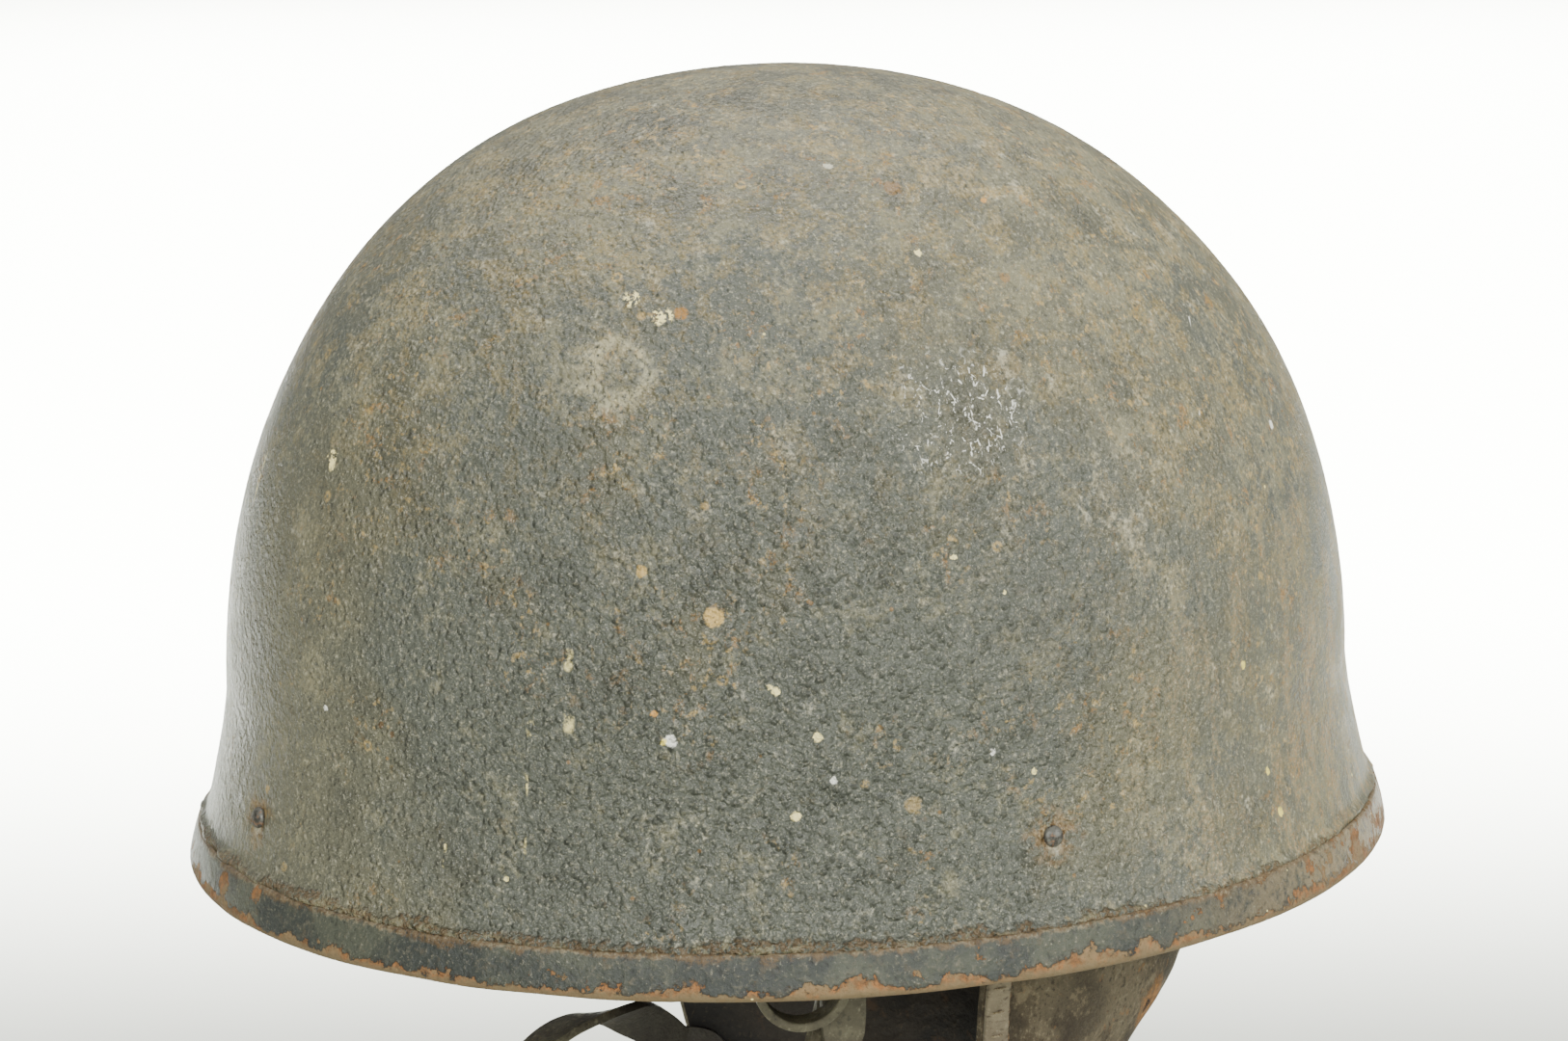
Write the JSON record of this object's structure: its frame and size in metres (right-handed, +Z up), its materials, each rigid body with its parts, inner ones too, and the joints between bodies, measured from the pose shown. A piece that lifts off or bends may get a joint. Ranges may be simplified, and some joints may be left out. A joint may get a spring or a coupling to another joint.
{
  "type": "despatch rider helmet",
  "caption": "Worn steel crash helmet for a despatch rider: domed shell with a folded rim, head band on riveted clips, leather neck curtain and buckled chin strap.",
  "frame": {"origin": "centre of the rim's lower plane, where the wearer's head goes in; the helmet is held up there as a head holds it, because its neck curtain and chin strap hang below the rim", "axes": "+Z up to the crown, -Y to the wearer's front, +X to the wearer's left, where the strap's buckle is"},
  "size_m": [0.2516, 0.2794, 0.289],
  "materials": {
    "shell_paint": "matt, crinkled, worn",
    "rim_paint": "matt paint with rust along its lower edge",
    "rivet_steel": "dull, traces of paint",
    "clip_steel": "dull, lightly rusted",
    "curtain_leather": "matt suede, stained",
    "band_leather": "matt, dark with age",
    "strap_leather": "matt, greyed"
  },
  "bodies": {
    "root": {"shell": "shell_paint", "rim_band": "rim_paint", "shell_rivet_front": "rivet_steel", "shell_rivet_left": "rivet_steel", "shell_rivet_back": "rivet_steel", "shell_rivet_right": "rivet_steel", "band_rivet_front": "rivet_steel", "band_rivet_left": "rivet_steel", "band_rivet_back": "rivet_steel", "band_rivet_right": "rivet_steel", "clip_front": "clip_steel", "clip_left": "clip_steel", "clip_back": "clip_steel", "clip_right": "clip_steel", "head_band": "band_leather", "neck_curtain": "curtain_leather", "hem_left": "curtain_leather", "hem_right": "curtain_leather", "buckle_tab": "strap_leather", "strap_buckle": "clip_steel", "chin_strap": "strap_leather", "strap_keeper": "strap_leather"}
  },
  "joints": []
}
